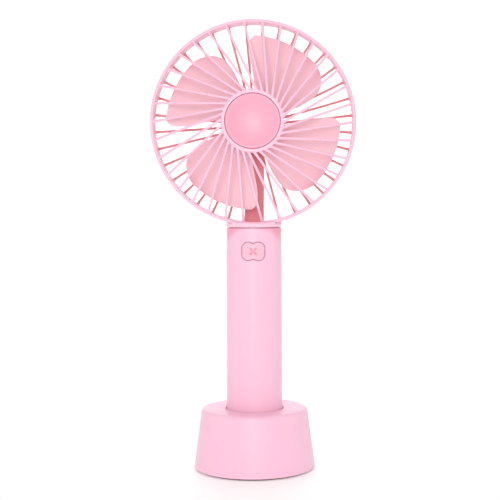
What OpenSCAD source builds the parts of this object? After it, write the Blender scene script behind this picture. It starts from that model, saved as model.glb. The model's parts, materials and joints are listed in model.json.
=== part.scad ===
// Handheld rechargeable fan standing in its desk base.
// Millimetres. +Z is up, the fan blows towards -Y, and the origin is the middle of the base's underside.

/* [Head] */
// Outer diameter of the guard's rim
head_d = 100; // [98:1:102]
// Height of the fan's axle above the table
head_z = 168.3; // [167.5:0.1:169]
// Number of ribs in the front guard
front_ribs = 34; // [24:1:36]
// Number of ribs in the rear guard
rear_ribs = 36; // [24:1:36]
// Width of a guard rib
rib_w = 1.3; // [1:0.1:1.5]
// How far the front ribs' lines pass beside the axle
rib_offset = 8; // [4:0.5:9]
// Number of blades on the impeller
blades = 4; // [3:1:4]
// Radius of the impeller's tips
tip_r = 42.4; // [36:0.1:43]

/* [Handle] */
// Outer diameter of the handle
handle_d = 27.3; // [27:0.1:28]
// Height of the power button's centre above the table
button_z = 106.1; // [105:0.1:106.5]
// How far the power button travels
button_travel = 0.5; // [0.3:0.1:0.6]

/* [Base] */
// Diameter of the base at the table
base_d = 58.8; // [56:0.1:64]
// Diameter of the base at its top
base_top_d = 51.6; // [50:0.1:54]
// Height of the base, with its foot pad
base_h = 29.3; // [28.5:0.1:31]
// How deep the handle stands in the base
well_depth = 16; // [14:0.5:16]

/* [Hidden] */
$fn = 72;
// How far a cut runs past the face it cuts
over = 0.5;
// Clearance round a screw's shank, whose thread is left plain
screw_gap = 0.03;

pink = [0.98, 0.75, 0.83];
deep_pink = [0.97, 0.66, 0.76];
steel = [0.72, 0.73, 0.75];
copper = [0.78, 0.46, 0.28];
green = [0.12, 0.38, 0.22];
dark = [0.15, 0.15, 0.16];
ivory = [0.9, 0.88, 0.82];

// Base
base_r = base_d / 2;
base_top_r = base_top_d / 2;
base_round = 1.8;
base_wall = 1.8;
foot_h = 0.8;
foot_r = base_r - 1.9;
plate_top = foot_h + 1.6;
plate_r = base_r - base_wall - 0.35;
well_floor = base_h - well_depth;
well_r = handle_d / 2 + 0.3;
well_lip = 0.8;
well_wall = 1.6;
base_screw_r = 20;
base_screw_angles = [30, 150, 270];
base_boss_r = 2.3;
base_side = atan((base_r - base_top_r) / (base_h - foot_h));

// Handle
handle_r = handle_d / 2;
wall = 1.6;
handle_in = handle_r - wall;
cap_bottom = well_floor + 0.05;
cap_top = cap_bottom + 5.7;
shell_z0 = cap_top + 0.15;
shell_z1 = 117.1;
seam = 0.04;
tongue_t = 0.7;
tongue_h = 0.8;
tongue_z = 24;
collar_z = 117.9;
spigot_z = 112.8;
spigot_r = handle_in - 0.15;
upper_x = 6.5;
upper_z = 114.2;
lower_x = 7;
lower_z = 91;
boss_r = 2.2;
screw_r = 1;
head_r = 1.6;
head_h = 1.2;
seat_y = 9.2;
screw_len = 15.5;
post_end = 0.3;

// Battery bay
twist = 60;
lug_z0 = 21.4;
lug_z1 = 22.8;
lug_r = handle_in + 0.5;
lug_deg = 20;
// Room the cap's lugs have in their groove
groove_gap = 0.15;
groove_r = handle_in + 0.75;
plug_r = handle_in - 0.25;
plug_in = 10.4;
plug_z = 23.1;
cell_r = 9.2;
cell_z0 = 23.3;
cell_top = cell_z0 + 64.2;
nub_top = cell_top + 0.8;
board_z = 94.2;
board_t = 1.2;
board_top = board_z + board_t;
board_r = 11.6;
strip_x = -9.9;
strip_t = 0.3;

// Button and switch
button_gap = 0.3;
button_proud = 0.25;
lobe_r = 3.1;
lobe_x = 2.45;
lobe_z = 1.3;
flange_y = -9.5;
flange_t = 0.8;
switch_face = -7.9;
switch_back = -4.7;
plunger_r = 1.7;
// Seat and height of the switch's snap dome
dome_seat = -5.32;
dome_rise = 0.64;
led_x = 6.4;
led_z = board_top + 1.1;

// Head, in its own frame: local z points out of the front, local y is up
rim_r = head_d / 2;
rim_wall = 1.7;
rim_in = rim_r - rim_wall;
barrel_in = rim_r - 1.2;
rim_front = 8.5;
rim_back = -7.2;
rim_round = 1.2;
part_z = 0.6;
part_gap = 0.1;
// The guard's skirt, which stands inside the barrel
skirt_back = -2;
skirt_front = 2.6;
dome_r = 112;
rib_depth = 2;
rib_phase = 9.2;
rib_end_r = rim_r - 0.9;
front_dome_z = rim_front - 0.4 - sqrt(dome_r * dome_r - rib_end_r * rib_end_r);
hub_r = 15.1;
hub_front = 18.2;
hub_in = 13.35;
cap_r = 13.15;
plate_z = 14.4;
plate_t = 1.1;
dish_depth = 1.5;
pin_orbit = 9;
pin_r = 1;
rear_phase = 4.7;
rear_hub_r = 15;
rear_hub_back = -17.5;
rear_cap_back = -19.4;
locating_r = 12.2;
locating_front = -16.9;
cup_in = 12.35;
cup_r = 13.45;
cup_front = -2.4;
cup_floor = 1.2;
duct_w = 9.4;
// How far from the duct's middle line a rear rib is left out, in degrees
duct_clear = 6;
duct_depth = 5;
duct_wall = 1;
wire_y = 4.7;
wire_x = 1.2;
wire_r = 0.55;
// Front edge of the slot that lets the wires into the motor cup
lead_slot_z = -13.6;
collar_top = head_z - 44;

// Impeller
imp_hub_r = 13;
imp_wall = 1.3;
imp_back = -1.8;
imp_front = 9.5;
shaft_r = 1;
shaft_tip = 6.8;
blade_root = 12.4;
radial_steps = 14;
chord_steps = 10;
blade_t = 1.3;

// Motor
can_r = 12.2;
can_t = 0.7;
can_front = cup_front - cup_floor;
can_back = can_front - 11.4;
bush_r = 2;
motor_boss_r = 3.1;
run_gap = 0.03;
motor_screw_r = 8;

// ---- Shared shapes ----

// Puts children into the head's frame.
module at_head() {
    translate([0, 0, head_z]) rotate([90, 0, 0]) children();
}

// A disc, or a ring when the inner radius is above zero, between two heights.
module ring(r_out, r_in, z0, z1) {
    difference() {
        translate([0, 0, z0]) cylinder(r = r_out, h = z1 - z0);
        if (r_in > 0) translate([0, 0, z0 - over]) cylinder(r = r_in, h = z1 - z0 + 2 * over);
    }
}

// A box given by its two opposite corners.
module span(a, b) {
    translate(a) cube(b - a);
}

// A cylinder along y between two y values, standing at x and z.
module rod_y(r, x, z, y0, y1) {
    translate([x, y1, z]) rotate([90, 0, 0]) cylinder(r = r, h = y1 - y0);
}

// An upright cylinder at x and y between two heights.
module rod_z(r, x, y, z0, z1) {
    translate([x, y, z0]) cylinder(r = r, h = z1 - z0);
}

// Points of an arc in equal steps about a centre.
function arc(c, r, a0, a1, n) = [for (i = [0:n]) let (a = a0 + (a1 - a0) * i / n) c + r * [cos(a), sin(a)]];

// A pan-head screw along +Z: its head stands on z = 0 and its shank goes down.
module screw(length) {
    difference() {
        union() {
            cylinder(r = head_r, h = head_h);
            translate([0, 0, -length]) cylinder(r = screw_r, h = length + 0.1);
        }
        for (turn = [0, 90]) rotate([0, 0, turn]) span([-1.1, -0.2, head_h - 0.6], [1.1, 0.2, head_h + over]);
    }
}

// ---- Base ----

module base_shell() {
    top_in = base_top_r - base_wall;
    color(pink) difference() {
        union() {
            rotate_extrude() polygon(concat(
                [[base_r, foot_h]],
                arc([base_top_r - base_round, base_h - base_round], base_round, base_side, 90, 8),
                [[well_r + well_lip, base_h], [well_r, base_h - well_lip], [well_r, well_floor],
                 [0, well_floor], [0, well_floor - well_wall], [well_r + well_wall, well_floor - well_wall],
                 [well_r + well_wall, base_h - base_wall], [top_in - 1, base_h - base_wall],
                 [top_in, base_h - base_wall - 1], [base_r - base_wall, foot_h]]));
            for (a = base_screw_angles) rotate([0, 0, a]) translate([base_screw_r, 0, plate_top + 0.05])
                cylinder(r = base_boss_r, h = base_h - base_wall - plate_top + 0.2);
        }
        for (a = base_screw_angles) rotate([0, 0, a]) translate([base_screw_r, 0, 0])
            cylinder(r = screw_r + screw_gap, h = 11);
    }
}

module base_plate() {
    color(pink) difference() {
        ring(plate_r, 0, foot_h + 0.02, plate_top);
        for (a = base_screw_angles) rotate([0, 0, a]) translate([base_screw_r, 0, 0]) {
            cylinder(r = screw_r + 0.15, h = 10);
            cylinder(r = head_r + 0.2, h = plate_top - 0.35);
        }
    }
}

module base_weight() {
    color(steel) difference() {
        ring(25.8, 16.4, plate_top + 0.05, plate_top + 6);
        for (a = base_screw_angles) rotate([0, 0, a]) translate([base_screw_r, 0, 0])
            cylinder(r = base_boss_r + 0.3, h = 12);
    }
}

module base_foot_pad() {
    color(dark) ring(foot_r, 0, 0, foot_h);
}

module base_screws() {
    color(steel) for (a = base_screw_angles) rotate([0, 0, a])
        translate([base_screw_r, 0, plate_top - 0.35]) rotate([180, 0, 0]) screw(8);
}

// ---- Handle ----

// The button's outline, grown by a margin, in the x-z plane's coordinates.
module button_outline(grow) {
    for (sx = [-1, 1]) for (sz = [-1, 1]) translate([sx * lobe_x, sz * lobe_z]) circle(r = lobe_r + grow);
    square([2 * (lobe_x + lobe_r - 0.15 + grow), 2 * lobe_z], center = true);
    square([2 * lobe_x, 2 * (lobe_z + lobe_r - 0.55 + grow)], center = true);
}

// The button's outline as a bar along y.
module button_bar(grow, y0, y1) {
    translate([0, y1, button_z]) rotate([90, 0, 0]) linear_extrude(height = y1 - y0) button_outline(grow);
}

// The half of space on one side of the handle's seam; side is -1 for the front.
module half(side, gap) {
    if (side < 0) span([-30, -30, 0], [30, -gap, 140]);
    if (side > 0) span([-30, gap, 0], [30, 30, 140]);
}

module bayonet_groove() {
    for (turn = [0, 180]) rotate([0, 0, turn]) {
        translate([0, 0, lug_z0 - groove_gap]) rotate([0, 0, -lug_deg / 2 - 1])
            rotate_extrude(angle = twist + lug_deg + 2) translate([handle_in - over, 0])
                square([groove_r - handle_in + over, lug_z1 - lug_z0 + 2 * groove_gap]);
        translate([0, 0, shell_z0 - over]) rotate([0, 0, twist - lug_deg / 2 - 0.6])
            rotate_extrude(angle = lug_deg + 1.2) translate([handle_in - over, 0])
                square([groove_r - handle_in + over - 0.05, lug_z0 - shell_z0 + over + 2 * groove_gap]);
    }
}

module handle_ledge() {
    ring(handle_in + 0.2, 11, board_z - 0.9, board_z - 0.05);
}

module handle_front_shell() {
    color(pink) difference() {
        union() {
            intersection() {
                union() {
                    ring(handle_r, handle_in, shell_z0, shell_z1);
                    handle_ledge();
                }
                half(-1, seam);
            }
            intersection() {
                ring(handle_in + tongue_t, handle_in, tongue_z, shell_z1 - 5);
                span([-30, -1, 0], [30, tongue_h, 140]);
            }
            intersection() {
                union() for (s = [-1, 1]) {
                    rod_y(boss_r, s * upper_x, upper_z, -12.6, -3);
                    rod_y(boss_r, s * lower_x, lower_z, -12.6, -post_end);
                }
                ring(handle_in + 0.2, 0, 60, shell_z1);
            }
        }
        button_bar(button_gap, -20, -8.6);
        for (s = [-1, 1]) {
            rod_y(screw_r + screw_gap, s * upper_x, upper_z, -7, 2);
            rod_y(screw_r + screw_gap, s * lower_x, lower_z, -7, 2);
        }
        bayonet_groove();
    }
}

module handle_rear_shell() {
    color(pink) difference() {
        union() {
            intersection() {
                union() {
                    ring(handle_r, handle_in, shell_z0, shell_z1);
                    handle_ledge();
                }
                half(1, seam);
            }
            intersection() {
                union() for (s = [-1, 1]) {
                    rod_y(head_r + 1, s * upper_x, upper_z, 7.4, 12.6);
                    rod_y(head_r + 1, s * lower_x, lower_z, post_end, 12.6);
                }
                ring(handle_in + 0.2, 0, 60, shell_z1);
            }
        }
        intersection() {
            ring(handle_in + tongue_t + 0.1, handle_in - over, tongue_z - 0.1, shell_z1 - 4.9);
            span([-30, -1, 0], [30, tongue_h + 0.1, 140]);
        }
        for (s = [-1, 1]) {
            rod_y(head_r + 0.15, s * upper_x, upper_z, seat_y, 20);
            rod_y(screw_r + 0.15, s * upper_x, upper_z, 0, 20);
            rod_y(head_r + 0.15, s * lower_x, lower_z, seat_y, 20);
            rod_y(screw_r + 0.15, s * lower_x, lower_z, 0, 20);
            rod_y(0.85, s * led_x, led_z, 8, 20);
        }
        span([-4.1, 8, board_top + 0.02], [4.1, 20, board_top + 3.1]);
        bayonet_groove();
    }
}

module handle_screws() {
    color(steel) for (s = [-1, 1]) {
        translate([s * upper_x, seat_y, upper_z]) rotate([-90, 0, 0]) screw(screw_len);
        translate([s * lower_x, seat_y, lower_z]) rotate([-90, 0, 0]) screw(screw_len);
    }
}

module battery_cap() {
    color(pink) {
        rotate_extrude() polygon([
            [0, cap_bottom], [handle_r - 1, cap_bottom], [handle_r - 0.05, cap_bottom + 0.95],
            [handle_r - 0.05, cap_top], [plug_r, cap_top], [plug_r, plug_z], [plug_in, plug_z],
            [plug_in, cap_bottom + 1.8], [0, cap_bottom + 1.8]]);
        for (turn = [0, 180]) rotate([0, 0, turn - lug_deg / 2]) translate([0, 0, lug_z0])
            rotate_extrude(angle = lug_deg) translate([plug_r - 0.4, 0])
                square([lug_r - plug_r + 0.4, lug_z1 - lug_z0]);
    }
}

module cap_contact() {
    color(steel) rotate_extrude() polygon([
        [0, cap_bottom + 1.82], [plug_in - 0.02, cap_bottom + 1.82], [plug_in - 0.02, plug_z + 0.1],
        [plug_in - 0.4, plug_z + 0.1], [plug_in - 0.4, cap_bottom + 2.2], [0, cap_bottom + 2.2]]);
}

// A round wire swept along points, as a closed shape with flat ends.
module wire(path, r, sides) {
    n = len(path);
    function dir(i) = let (d = path[min(i + 1, n - 1)] - path[max(i - 1, 0)]) d / norm(d);
    function side_a(d) = let (c = cross(d, abs(d[2]) < 0.9 ? [0, 0, 1] : [0, 1, 0])) c / norm(c);
    rings = [for (i = [0:n - 1]) let (d = dir(i), u = side_a(d), v = cross(d, u))
        for (k = [0:sides - 1]) path[i] + r * (cos(360 * k / sides) * u + sin(360 * k / sides) * v)];
    skin = [for (i = [0:n - 2]) for (k = [0:sides - 1])
        let (a = i * sides + k, b = i * sides + (k + 1) % sides)
        for (t = [[a, a + sides, b], [b, a + sides, b + sides]]) t];
    ends = [[for (k = [0:sides - 1]) k], [for (k = [0:sides - 1]) (n - 1) * sides + sides - 1 - k]];
    polyhedron(points = rings, faces = concat(skin, ends));
}

module cap_spring() {
    turns = 4.5;
    z0 = cap_bottom + 2.62;
    z1 = cell_z0 - 0.42;
    steps = 90;
    color(steel) wire([for (i = [0:steps]) let (t = i / steps, a = 360 * turns * t, r = 6.5 - 2.5 * t)
        [r * cos(a), r * sin(a), z0 + (z1 - z0) * t]], 0.38, 8);
}

module battery_cell() {
    color([0.2, 0.35, 0.6]) difference() {
        ring(cell_r, 0, cell_z0, cell_top);
        ring(4.2, 3.4, cell_top - 0.4, cell_top + over);
    }
}

module battery_terminal() {
    color(steel) rotate_extrude() polygon([
        [0, cell_top + 0.01], [3.2, cell_top + 0.01], [3.2, cell_top + 0.25], [2.7, nub_top - 0.15],
        [2.5, nub_top], [0, nub_top]]);
}

module positive_contact() {
    color(copper) translate([0, 2.5, 0]) rotate([90, 0, 0]) linear_extrude(height = 5) polygon([
        [-3, nub_top + 0.02], [3.4, nub_top + 0.02], [4.1, nub_top + 0.5], [4.1, board_z - 0.05],
        [3.8, board_z - 0.05], [3.8, nub_top + 0.64], [3.3, nub_top + 0.32], [-3, nub_top + 0.32]]);
}

module negative_strip() {
    color(copper) span([strip_x - strip_t, -2, plug_z + 0.2], [strip_x, 2, board_z - 0.05]);
}

module main_board() {
    color(green) difference() {
        ring(board_r, 0, board_z, board_top);
        for (s = [-1, 1]) rod_z(0.5, s * wire_x * 2, wire_y - 3.4, board_z - over, board_top + over);
    }
}

module board_components() {
    z = board_top + 0.02;
    color(dark) {
        span([-4.8, -0.6, z], [-1.2, 3.2, z + 1.4]);
        span([1.6, -2.4, z], [4.8, -0.2, z + 1.1]);
        span([6, -1, z], [8.6, 1.6, z + 1.6]);
        span([-8.8, -1.4, z], [-6.4, 0.4, z + 0.8]);
        rod_z(2, 0, -8.2, z, z + 2);
        span([-3.6, -3.4, z], [3.6, -2.7, z + 2.4]);
    }
}

module usb_socket() {
    z = board_top + 0.04;
    color(steel) translate([0, 12.2, 0]) rotate([90, 0, 0]) linear_extrude(height = 5.6) difference() {
        polygon([[-2.9, z], [2.9, z], [3.75, z + 1], [3.75, z + 2.6], [-3.75, z + 2.6], [-3.75, z + 1]]);
        polygon([[-2.75, z + 0.3], [2.75, z + 0.3], [3.45, z + 1.1], [3.45, z + 2.3], [-3.45, z + 2.3],
                 [-3.45, z + 1.1]]);
    }
}

module usb_tongue() {
    z = board_top + 0.04;
    color(dark) {
        span([-1.7, 7, z + 1.45], [1.7, 11.4, z + 2]);
        span([-2.6, 6.7, z + 0.4], [2.6, 7.4, z + 2.2]);
    }
}

module switch_board() {
    color(green) span([-6.4, switch_back + 0.02, board_top + 2.5], [6.4, switch_back + 1.22, spigot_z - 1.2]);
}

module switch_body() {
    color(dark) difference() {
        span([-3, switch_face, button_z - 3], [3, switch_back, button_z + 3]);
        rod_y(plunger_r + 0.05, 0, button_z, switch_face - over, switch_back - 1);
        rod_y(2.6, 0, button_z, -7.2, -5.3);
    }
}

module switch_dome() {
    color(steel) translate([0, dome_seat, button_z]) rotate([90, 0, 0]) rotate_extrude() polygon([
        [0, dome_rise - 0.16], [1.3, 0.3], [2.4, 0], [2.5, 0.12], [1.35, 0.45], [0, dome_rise]]);
}

module switch_plunger() {
    tip_y = dome_seat - dome_rise - button_travel - 0.04;
    color(dark) rod_y(plunger_r, 0, button_z, flange_y + flange_t + 0.02, tip_y);
}

module status_leds() {
    color(ivory) for (s = [-1, 1]) {
        rod_y(0.75, s * led_x, led_z, 8.4, 10.8);
        span([s * led_x - 1, 7.2, board_top + 0.02], [s * led_x + 1, 8.6, board_top + 2]);
    }
}

module power_button() {
    face_r = handle_r + button_proud;
    color(deep_pink) difference() {
        union() {
            intersection() {
                button_bar(0, -20, flange_y);
                ring(face_r, 0, button_z - 8, button_z + 8);
            }
            span([-6.5, flange_y, button_z - 5.3], [6.5, flange_y + flange_t, button_z + 5.3]);
        }
        for (turn = [45:90:315]) translate([0, -face_r + 0.3, button_z]) rotate([90, turn, 0])
            linear_extrude(height = 2) intersection() {
                translate([1.3, 0.9]) circle(r = 1.5);
                translate([1.3, -0.9]) circle(r = 1.5);
            }
    }
}

// ---- Head ----

// One curved rib lying along local x, its outer face on a dome whose centre is at height zc.
module rib(zc, offset, depth, width, x0, x1) {
    r = sqrt(dome_r * dome_r - offset * offset);
    translate([0, width / 2 - offset, 0]) rotate([90, 0, 0]) linear_extrude(height = width) intersection() {
        difference() {
            translate([0, zc]) circle(r = r, $fn = 360);
            translate([0, zc]) circle(r = r - depth, $fn = 360);
        }
        translate([x0, 0]) square([x1 - x0, 40]);
    }
}

function along(r, offset) = sqrt(r * r - offset * offset);

module front_grille() {
    color(pink) at_head() {
        rotate_extrude() polygon(concat(
            [[rim_in, part_z + part_gap], [rim_r, part_z + part_gap]],
            arc([rim_r - rim_round, rim_front - rim_round], rim_round, 0, 90, 6),
            arc([rim_in + 0.5, rim_front - 0.5], 0.5, 90, 180, 4)));
        rotate_extrude() polygon([
            [rim_in - 0.1, skirt_back], [barrel_in - 0.1, skirt_back], [barrel_in - 0.1, skirt_front],
            [rim_in + 0.1, skirt_front], [rim_in - 0.1, skirt_front - 1.1]]);
        for (i = [0:front_ribs - 1]) rotate([0, 0, rib_phase + 360 * i / front_ribs])
            rib(front_dome_z, rib_offset, rib_depth, rib_w, along(hub_in + 0.7, rib_offset),
                along(rib_end_r, rib_offset));
        difference() {
            rotate_extrude() polygon(concat(
                [[0, plate_z], [hub_r, plate_z]],
                arc([hub_r - 0.6, hub_front - 0.6], 0.6, 0, 90, 4),
                [[hub_in + 0.3, hub_front], [hub_in, hub_front - 0.3], [hub_in, plate_z + plate_t],
                 [0, plate_z + plate_t]]));
            for (a = [90, 210, 330]) rotate([0, 0, a])
                rod_z(pin_r + 0.1, pin_orbit, 0, plate_z - over, plate_z + 3);
        }
    }
}

module hub_cap() {
    z0 = plate_z + plate_t + 0.02;
    z1 = hub_front - 0.25;
    dish_r = ((cap_r - 1) * (cap_r - 1) + dish_depth * dish_depth) / (2 * dish_depth);
    color(deep_pink) at_head() {
        rotate_extrude() difference() {
            polygon([[0, z0], [cap_r, z0], [cap_r, z1 - 0.3], [cap_r - 0.3, z1], [0, z1]]);
            translate([0, z1 - dish_depth + dish_r]) circle(r = dish_r, $fn = 360);
        }
        for (a = [90, 210, 330]) rotate([0, 0, a]) rod_z(pin_r, pin_orbit, 0, plate_z - 0.8, z0 + 0.2);
    }
}

// The rear guard's dome, mirrored so that its outer face looks backwards.
rear_dome_z = -rim_back - 0.2 - sqrt(dome_r * dome_r - rib_end_r * rib_end_r);

// A radial bar of the rear guard at an angle; lift moves it forwards off the dome.
module rear_spoke(angle, lift, depth, width, x0, x1) {
    mirror([0, 0, 1]) rotate([0, 0, angle]) rib(rear_dome_z - lift, 0, depth, width, x0, x1);
}

module collar() {
    difference() {
        ring(handle_r, 0, collar_z, collar_top);
        at_head() {
            translate([0, 0, part_z]) cylinder(r = rim_r + 0.15, h = rim_front - part_z + 0.15);
            translate([0, 0, rim_front]) cylinder(r = rim_r - 1.1, h = 30);
            translate([0, 0, rim_back + 0.6]) cylinder(r = barrel_in + 0.3, h = 20);
            translate([0, 0, -40]) cylinder(r = rim_r - 1.1, h = 40 + rim_back + 1);
        }
    }
}

module spigot() {
    difference() {
        ring(spigot_r, 0, spigot_z, collar_z + 0.2);
        for (s = [-1, 1]) {
            rod_y(boss_r + 0.25, s * upper_x, upper_z, -20, -2.8);
            rod_y(head_r + 1.25, s * upper_x, upper_z, 7.2, 20);
            rod_y(screw_r + 0.15, s * upper_x, upper_z, -20, 20);
        }
        for (s = [-1, 1]) {
            span([s * upper_x - boss_r - 0.25, -20, spigot_z - 1],
                 [s * upper_x + boss_r + 0.25, -2.8, upper_z]);
            span([s * upper_x - head_r - 1.25, 7.2, spigot_z - 1],
                 [s * upper_x + head_r + 1.25, 20, upper_z]);
        }
    }
}

// The round cup that holds the motor, with a slot for its wires.
module motor_cup() {
    difference() {
        ring(cup_r, cup_in, rear_hub_back + 1, cup_front);
        span([-duct_w / 2 + duct_wall, -20, rear_hub_back], [duct_w / 2 - duct_wall, -8, lead_slot_z]);
    }
    difference() {
        ring(cup_r, motor_boss_r + 0.1, can_front, cup_front);
        for (a = [0, 180]) rotate([0, 0, a])
            rod_z(screw_r + 0.1, motor_screw_r, 0, can_front - over, cup_front + over);
    }
}

module rear_housing() {
    color(pink) difference() {
        union() {
            at_head() {
                rotate_extrude() polygon(concat(
                    [[rim_r, part_z - part_gap], [barrel_in, part_z - part_gap], [barrel_in, rim_back]],
                    arc([rim_r - 1.1, rim_back + 1.1], 1.1, 270, 360, 6)));
                for (i = [0:rear_ribs - 1]) let (a = rear_phase + 360 * i / rear_ribs)
                    if (abs(a - 270) > duct_clear)
                        rear_spoke(a, 0, rib_depth, rib_w, rear_hub_r - 1, rib_end_r);
                ring(rear_hub_r, cup_in, rear_hub_back, rear_hub_back + 3);
                motor_cup();
                rear_spoke(270, 0, duct_depth, duct_w, cup_r - 0.5, rib_end_r);
            }
            collar();
            spigot();
        }
        at_head() {
            rear_spoke(270, duct_wall, duct_depth - 2 * duct_wall, duct_w - 2 * duct_wall, cup_in - 1,
                       rim_r + 4);
            span([-duct_w / 2 + duct_wall, -20, rear_hub_back + 0.8],
                 [duct_w / 2 - duct_wall, -cup_in + 1, lead_slot_z]);
        }
        span([-2.2, wire_y - 1.6, spigot_z - 1], [2.2, wire_y + 1.6, head_z - rim_r + 2.5]);
    }
}

module rear_cap() {
    inner_r = locating_r - 1;
    seat = rear_hub_back - 0.02;
    color(pink) at_head() rotate_extrude() polygon([
        [0, rear_cap_back], [rear_hub_r - 1, rear_cap_back], [rear_hub_r, rear_cap_back + 1],
        [rear_hub_r, seat], [locating_r, seat], [locating_r, locating_front], [inner_r, locating_front],
        [inner_r, seat], [0, seat]]);
}

// ---- Impeller ----

// How far along the blade's span a radius is, from 0 at the axle's side to 1 at the tip.
function out(r) = (r - imp_hub_r) / (tip_r - imp_hub_r);
function lead(t) = 18.5 + 10 * pow(t, 2) + 14 * pow(t, 9);
function trail(t) = 83.5 + 25.5 * t - 16.2 * pow(t, 2) - 4.5 * pow(t, 16);
// Height of the blade's middle surface, at span t and v of the way from the leading to the trailing edge.
function blade_z(t, v) =
    (-1 - 2.6 * t) * (1 - v) + (7.9 - 1.4 * t) * v - 1.6 * sin(180 * v) * (0.6 + 0.4 * t);

module blade() {
    nr = radial_steps;
    nc = chord_steps;
    function point(i, j, side) = let (
        u = i / nr, v = j / nc,
        r = blade_root + (tip_r - blade_root) * (1 - pow(1 - u, 1.35)),
        t = max(0, out(r)),
        a = lead(t) + (trail(t) - lead(t)) * v,
        h = blade_t * (0.22 + 0.78 * pow(sin(180 * v), 0.5)) * (1 - 0.35 * t) / 2)
        [r * cos(a), r * sin(a), blade_z(t, v) + side * h];
    row = nc + 1;
    points = [for (side = [1, -1]) for (i = [0:nr]) for (j = [0:nc]) point(i, j, side)];
    under = (nr + 1) * row;
    faces = concat(
        [for (i = [0:nr - 1]) for (j = [0:nc - 1]) let (a = i * row + j)
            for (f = [[a, a + 1, a + row], [a + 1, a + row + 1, a + row]]) f],
        [for (i = [0:nr - 1]) for (j = [0:nc - 1]) let (a = under + i * row + j)
            for (f = [[a, a + row, a + 1], [a + 1, a + row, a + row + 1]]) f],
        [for (i = [0:nr - 1]) let (a = i * row)
            for (f = [[a, a + row, under + a], [under + a, a + row, under + a + row]]) f],
        [for (i = [0:nr - 1]) let (a = i * row + nc)
            for (f = [[a, under + a, a + row], [under + a, under + a + row, a + row]]) f],
        [for (j = [0:nc - 1]) for (f = [[j, under + j, j + 1], [j + 1, under + j, under + j + 1]]) f],
        [for (j = [0:nc - 1]) let (a = nr * row + j)
            for (f = [[a, a + 1, under + a], [a + 1, under + a + 1, under + a]]) f]);
    polyhedron(points = points, faces = faces);
}

module impeller() {
    color(deep_pink) at_head() {
        for (i = [0:blades - 1]) rotate([0, 0, 360 * i / blades]) blade();
        rotate_extrude() polygon(concat(
            [[shaft_r + 0.01, -1.2], [3.2, -1.2], [3.2, imp_front - imp_wall],
             [imp_hub_r - imp_wall, imp_front - imp_wall], [imp_hub_r - imp_wall, imp_back],
             [imp_hub_r, imp_back]],
            arc([imp_hub_r - 1.5, imp_front - 1.5], 1.5, 0, 90, 5),
            [[0, imp_front], [0, shaft_tip + 0.1], [shaft_r + 0.01, shaft_tip + 0.1]]));
    }
}

// ---- Motor ----

module motor_can() {
    color(steel) at_head() {
        ring(can_r, can_r - can_t, can_back, can_front - can_t);
        difference() {
            union() {
                ring(can_r, 0, can_front - can_t, can_front - 0.02);
                ring(motor_boss_r, 0, can_front - can_t, cup_front);
            }
            rod_z(bush_r + 0.01, 0, 0, -10, 10);
            for (a = [0, 180]) rotate([0, 0, a]) rod_z(screw_r + screw_gap, motor_screw_r, 0, -10, 10);
        }
    }
}

module motor_front_bushing() {
    color(copper) at_head() ring(bush_r, shaft_r + run_gap, can_front - 1.4, cup_front);
}

module motor_rear_bushing() {
    color(copper) at_head() ring(bush_r, shaft_r + run_gap, can_back - 0.6, can_back + 1);
}

module motor_end_cap() {
    color(ivory) at_head() difference() {
        union() {
            ring(can_r - can_t - 0.03, 0, can_back, can_back + 1);
            ring(3.2, 0, can_back - 0.9, can_back + 1);
        }
        rod_z(bush_r + 0.01, 0, 0, can_back - 0.6, can_back + 5);
        for (s = [-1, 1]) span([s * 3.6 - 0.35, -7.6, can_back - over], [s * 3.6 + 0.35, -5.4, can_back + 2]);
    }
}

module motor_magnets() {
    color(dark) at_head() for (a = [-55, 125]) rotate([0, 0, a]) translate([0, 0, can_back + 2.4])
        rotate_extrude(angle = 110) translate([9, 0]) square([2.46, 7.8]);
}

module motor_brushes() {
    color(copper) at_head() for (s = [-1, 1])
        span([s * 3.2 - 0.15, -6.2, can_back + 1.35], [s * 3.2 + 0.15, 3, can_back + 2.35]);
}

module motor_terminals() {
    color(copper) at_head() for (s = [-1, 1])
        span([s * 3.6 - 0.2, -7.4, can_back - 0.9], [s * 3.6 + 0.2, -5.6, can_back + 2.2]);
}

module motor_shaft() {
    color(steel) at_head() ring(shaft_r, 0, can_back - 0.5, shaft_tip);
}

core_z0 = can_back + 4.2;
core_z1 = core_z0 + 4.4;

module motor_armature() {
    color([0.45, 0.46, 0.48]) at_head() difference() {
        union() {
            ring(3.2, 0, core_z0, core_z1);
            for (a = [90, 210, 330]) rotate([0, 0, a]) {
                span([2, -1.2, core_z0], [8.2, 1.2, core_z1]);
                translate([0, 0, core_z0]) rotate([0, 0, -46]) rotate_extrude(angle = 92)
                    translate([7.4, 0]) square([1.2, core_z1 - core_z0]);
            }
        }
        rod_z(shaft_r + 0.01, 0, 0, core_z0 - over, core_z1 + over);
    }
}

module motor_windings() {
    color(copper) at_head() for (a = [90, 210, 330]) rotate([0, 0, a]) difference() {
        span([3.7, -2.3, core_z0 - 1.1], [7.1, 2.3, core_z1 + 1.1]);
        span([3.7 - over, -1.25, core_z0 - 0.05], [7.1 + over, 1.25, core_z1 + 0.05]);
    }
}

module motor_commutator() {
    color(copper) at_head() ring(2.9, shaft_r + 0.01, can_back + 1.2, core_z0 - 1.3);
}

module motor_screws() {
    color(steel) at_head() for (a = [0, 180])
        rotate([0, 0, a]) translate([motor_screw_r, 0, cup_front + 0.02]) difference() {
            union() {
                cylinder(r = head_r, h = 0.5);
                translate([0, 0, -2.2]) cylinder(r = screw_r, h = 2.3);
            }
            span([-1.1, -0.2, 0.25], [1.1, 0.2, 1]);
        }
}

// The middle line of the wire duct, from the neck up to the motor.
function duct_mid(r) = -(rear_dome_z + sqrt(dome_r * dome_r - r * r)) + duct_depth / 2;

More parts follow.
